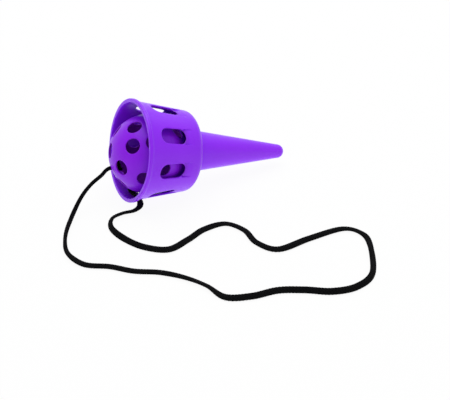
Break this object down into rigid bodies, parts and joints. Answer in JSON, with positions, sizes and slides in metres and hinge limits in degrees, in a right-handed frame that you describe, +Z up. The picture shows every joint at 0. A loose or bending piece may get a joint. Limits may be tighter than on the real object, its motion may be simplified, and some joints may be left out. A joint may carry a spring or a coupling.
{
  "type": "cup and ball toy",
  "caption": "Moulded catching toy lying on its side: a tapered cup with slots and a hollow cone handle, a perforated ball in the cup and a flat cord that joins them.",
  "frame": {"origin": "on the table, under the middle of the cup, handle and ball", "axes": "+X from the mouth towards the tip of the handle, +Y away from the side with the cord's loop, +Z up"},
  "size_m": [0.1431, 0.1529, 0.0544],
  "materials": {
    "cup_plastic": "satin moulded polypropylene, bright purple",
    "ball_plastic": "satin moulded polyethylene, bright purple, slightly darker",
    "cord": "flat braided black cord"
  },
  "bodies": {
    "cup": {"cup_and_handle": "cup_plastic", "cup_tie": "cord", "cord_on_table": "cord", "cord_to_ball": "cord"},
    "cord_end": {"ball_knot": "cord"},
    "ball": {"ball_front_half": "ball_plastic", "ball_rear_half": "ball_plastic"}
  },
  "joints": [
    {"name": "ball_lift", "type": "slide", "parent": "cup", "child": "cord_end", "axis": [-0.9205, 0, 0.3907], "range_m": [0, 0.045], "deforming": ["cord_to_ball"]},
    {"name": "ball_swivel", "type": "hinge", "parent": "cord_end", "child": "ball", "pos_m": [-0.02961, -0.00032, 0.02368], "axis": [-0.9552, 0.1564, -0.2511], "continuous": true}
  ]
}
